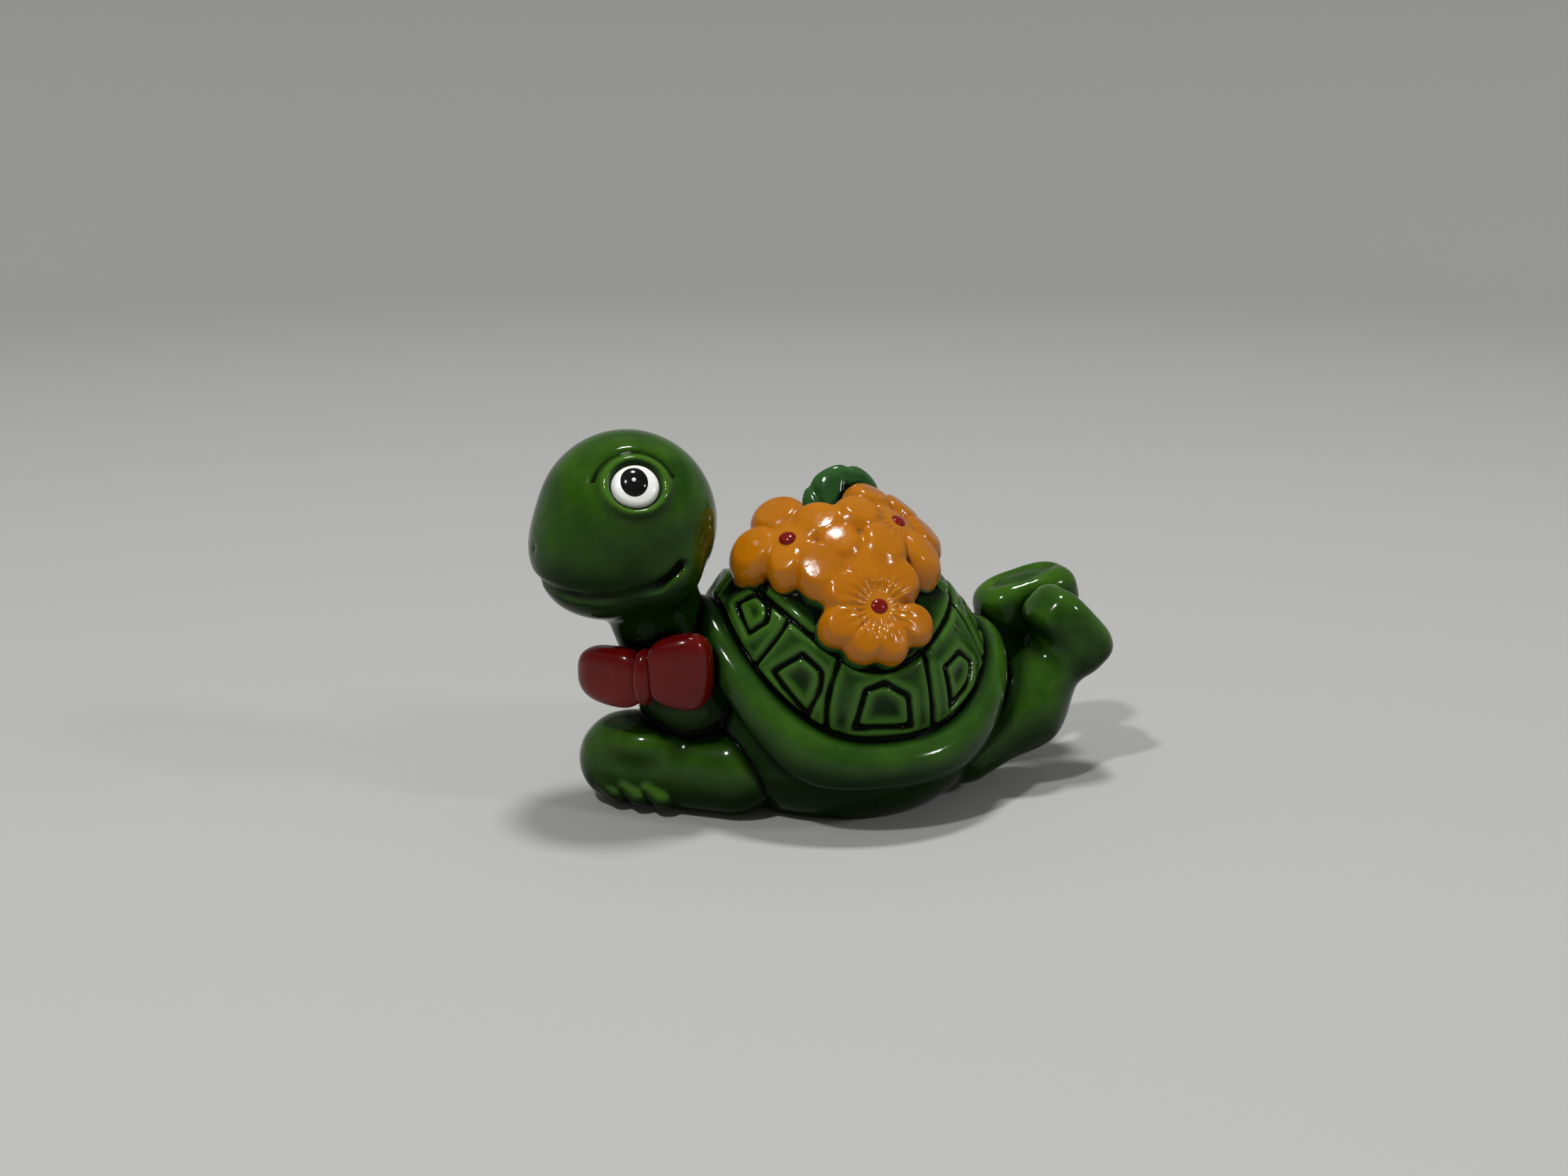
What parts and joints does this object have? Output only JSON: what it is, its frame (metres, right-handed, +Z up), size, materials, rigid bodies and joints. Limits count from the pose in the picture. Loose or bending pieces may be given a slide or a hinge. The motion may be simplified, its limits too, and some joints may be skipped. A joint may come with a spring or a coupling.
{
  "type": "turtle figurine",
  "caption": "Small glossy turtle figurine lying on its belly, arms folded in front, hind feet raised and crossed, with flowers and a leaf on its shell and a bow at its neck.",
  "frame": {"origin": "on the flat underside, below the middle of the shell", "axes": "+Z up, +X towards the raised hind feet, -Y towards the turtle's left side"},
  "size_m": [0.0385, 0.0222, 0.0249],
  "materials": {
    "green_gloss_paint": "gloss",
    "shell_gloss_paint": "gloss",
    "orange_flower_paint": "gloss",
    "red_flower_eye_paint": "gloss",
    "red_bow_paint": "gloss",
    "white_eye_paint": "gloss",
    "black_pupil_paint": "gloss"
  },
  "bodies": {
    "root": {"head": "green_gloss_paint", "lower_jaw": "green_gloss_paint", "neck": "green_gloss_paint", "chest": "green_gloss_paint", "belly": "green_gloss_paint", "left_arm": "green_gloss_paint", "right_arm": "green_gloss_paint", "right_hand_fingers": "green_gloss_paint", "left_leg": "green_gloss_paint", "right_leg": "green_gloss_paint", "left_foot": "green_gloss_paint", "right_foot": "green_gloss_paint", "leaf": "green_gloss_paint", "shell_dome": "shell_gloss_paint", "shell_rim": "shell_gloss_paint", "left_front_scute": "shell_gloss_paint", "left_front_side_scute": "shell_gloss_paint", "left_side_scute": "shell_gloss_paint", "left_rear_side_scute": "shell_gloss_paint", "left_rear_scute": "shell_gloss_paint", "right_front_scute": "shell_gloss_paint", "right_front_side_scute": "shell_gloss_paint", "right_side_scute": "shell_gloss_paint", "right_rear_side_scute": "shell_gloss_paint", "right_rear_scute": "shell_gloss_paint", "left_front_scute_panel": "shell_gloss_paint", "left_front_side_scute_panel": "shell_gloss_paint", "left_side_scute_panel": "shell_gloss_paint", "left_rear_side_scute_panel": "shell_gloss_paint", "left_rear_scute_panel": "shell_gloss_paint", "right_front_scute_panel": "shell_gloss_paint", "right_front_side_scute_panel": "shell_gloss_paint", "right_side_scute_panel": "shell_gloss_paint", "right_rear_side_scute_panel": "shell_gloss_paint", "right_rear_scute_panel": "shell_gloss_paint", "crown_scute_1": "shell_gloss_paint", "crown_scute_2": "shell_gloss_paint", "crown_scute_3": "shell_gloss_paint", "crown_scute_4": "shell_gloss_paint", "crown_scute_5": "shell_gloss_paint", "crown_scute_6": "shell_gloss_paint", "front_flower": "orange_flower_paint", "rear_flower": "orange_flower_paint", "low_flower": "orange_flower_paint", "front_flower_centre": "red_flower_eye_paint", "rear_flower_centre": "red_flower_eye_paint", "low_flower_centre": "red_flower_eye_paint", "bow_knot": "red_bow_paint", "bow_front_wing": "red_bow_paint", "bow_rear_wing": "red_bow_paint", "left_eye": "white_eye_paint", "right_eye": "white_eye_paint", "left_eye_glint": "white_eye_paint", "right_eye_glint": "white_eye_paint", "left_pupil": "black_pupil_paint", "right_pupil": "black_pupil_paint"}
  },
  "joints": []
}
